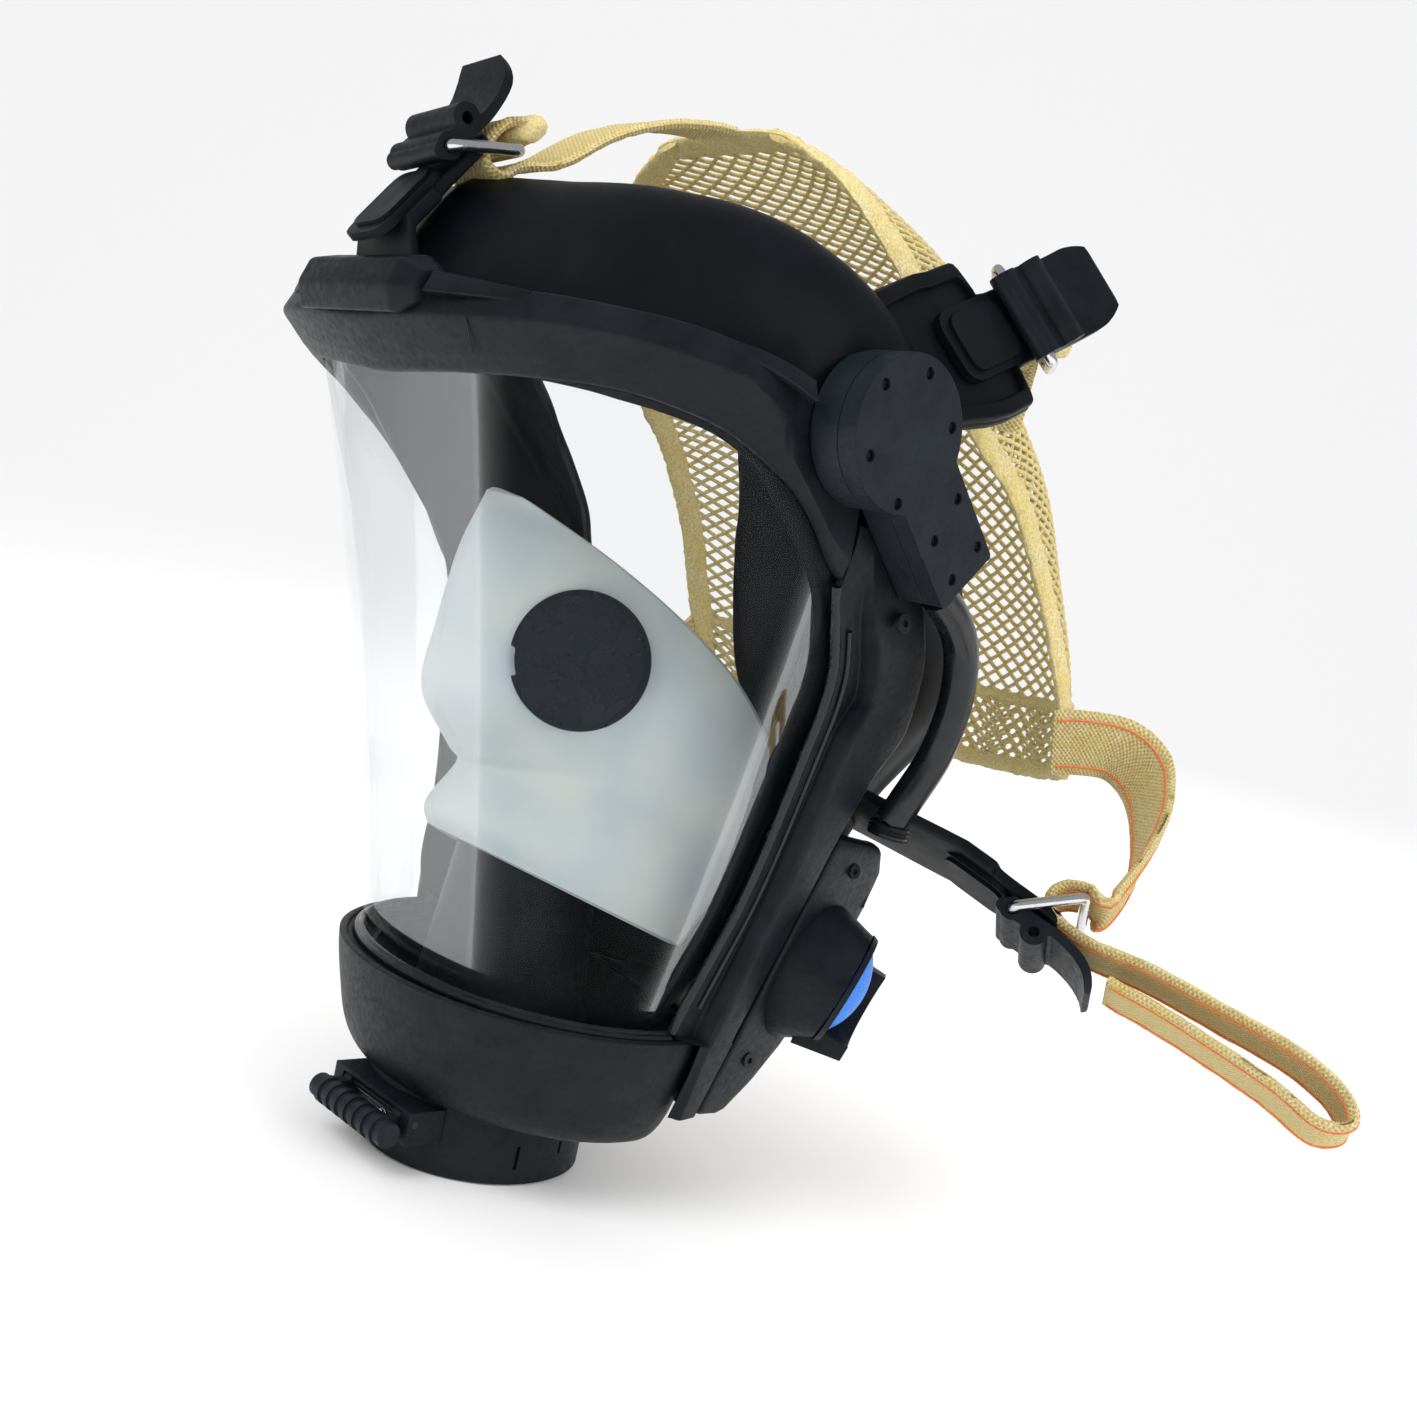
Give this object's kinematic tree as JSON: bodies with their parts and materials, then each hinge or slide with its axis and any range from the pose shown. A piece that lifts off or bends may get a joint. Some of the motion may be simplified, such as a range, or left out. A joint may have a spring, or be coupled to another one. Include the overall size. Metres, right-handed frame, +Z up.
{
  "type": "full face respirator",
  "caption": "Full face respirator: clear conical lens in a black frame with face seal, nose cup, bayonet-style air port, voice amplifier and an open net head harness.",
  "frame": {"origin": "centre of the mouth of the regulator port", "axes": "+Z up along the axis of the port; the mask faces -Y; +X is the wearer's left"},
  "size_m": [0.3476, 0.2156, 0.2588],
  "materials": {
    "battery": "sleeved",
    "black_plastic": "fine matt grain",
    "board": "solder mask",
    "button_blue": "grained",
    "cup_silicone": "milky translucent silicone",
    "foil": "thin foil",
    "kevlar": "woven aramid",
    "lens": "polished clear polycarbonate",
    "module_plastic": "mottled matt",
    "seal_rubber": "smooth matt",
    "speaker": "matt",
    "steel": "bright",
    "valve_rubber": "glossy"
  },
  "bodies": {
    "mask": {"lens": "lens", "upper_bezel": "black_plastic", "lower_bezel": "black_plastic", "side_arm_left": "black_plastic", "side_arm_right": "black_plastic", "bezel_screws": "steel", "face_seal": "seal_rubber", "nose_cup": "cup_silicone", "nose_cup_adapter": "black_plastic", "valve_seat_left": "valve_rubber", "valve_seat_right": "valve_rubber", "port_collar": "black_plastic", "port_gasket": "seal_rubber", "latch_pin": "steel", "latch_spring": "steel", "amp_cover": "black_plastic", "amp_board": "board", "amp_speaker": "speaker", "amp_battery": "battery", "amp_screws": "steel", "button_guard": "black_plastic", "button_housing": "black_plastic", "button_spring": "steel", "service_plug": "seal_rubber", "voice_cover_right": "black_plastic", "voice_diaphragm": "foil", "voice_retainer": "black_plastic", "cable": "seal_rubber", "cable_boots": "seal_rubber", "module_back": "module_plastic", "module_front": "module_plastic", "module_screws": "steel", "module_board": "board", "loop_top": "steel", "loop_temple_left": "steel", "loop_temple_right": "steel", "loop_cheek_left": "steel", "loop_cheek_right": "steel", "head_net": "kevlar", "net_binding": "kevlar", "forehead_strap": "kevlar", "temple_strap_left": "kevlar", "temple_strap_right": "kevlar", "cheek_strap_left": "kevlar", "cheek_strap_right": "kevlar"},
    "buckle_top_body": {"buckle_top": "black_plastic"},
    "buckle_temple_left_body": {"buckle_temple_left": "black_plastic"},
    "buckle_temple_right_body": {"buckle_temple_right": "black_plastic"},
    "buckle_cheek_left_body": {"buckle_cheek_left": "black_plastic"},
    "buckle_cheek_right_body": {"buckle_cheek_right": "black_plastic"},
    "inhalation_flap_left_body": {"inhalation_flap_left": "valve_rubber"},
    "inhalation_flap_right_body": {"inhalation_flap_right": "valve_rubber"},
    "port_latch_body": {"port_latch": "black_plastic"},
    "power_button_body": {"power_button": "button_blue"}
  },
  "joints": [
    {"name": "buckle_top_lift", "type": "hinge", "parent": "mask", "child": "buckle_top_body", "pos_m": [-0.00135, -0.06494, 0.22679], "axis": [0.9974, -0.0399, 0.0598], "range_deg": [0, 35]},
    {"name": "buckle_temple_left_lift", "type": "hinge", "parent": "mask", "child": "buckle_temple_left_body", "pos_m": [0.08843, 0.0332, 0.22043], "axis": [0.517, 0.4479, -0.7294], "range_deg": [0, 35]},
    {"name": "buckle_temple_right_lift", "type": "hinge", "parent": "mask", "child": "buckle_temple_right_body", "pos_m": [-0.08843, 0.0332, 0.22043], "axis": [0.517, -0.4479, 0.7294], "range_deg": [0, 35]},
    {"name": "buckle_cheek_left_lift", "type": "hinge", "parent": "mask", "child": "buckle_cheek_left_body", "pos_m": [0.09181, 0.0761, 0.08496], "axis": [-0.4197, 0.7545, -0.5046], "range_deg": [0, 35]},
    {"name": "buckle_cheek_right_lift", "type": "hinge", "parent": "mask", "child": "buckle_cheek_right_body", "pos_m": [-0.09181, 0.0761, 0.08496], "axis": [-0.4197, -0.7545, 0.5046], "range_deg": [0, 35]},
    {"name": "inhalation_flap_left_open", "type": "slide", "parent": "mask", "child": "inhalation_flap_left_body", "axis": [-0.7035, 0.7035, -0.1005], "range_m": [0, 0.0012]},
    {"name": "inhalation_flap_right_open", "type": "slide", "parent": "mask", "child": "inhalation_flap_right_body", "axis": [0.7035, 0.7035, -0.1005], "range_m": [0, 0.0012]},
    {"name": "latch_release", "type": "hinge", "parent": "mask", "child": "port_latch_body", "pos_m": [0, -0.03, 0.013], "axis": [-1, 0, 0], "range_deg": [0, 10]},
    {"name": "button_press", "type": "slide", "parent": "mask", "child": "power_button_body", "axis": [-0.7407, -0.5906, 0.3203], "range_m": [0, 0.0015], "deforming": ["button_spring"]}
  ]
}
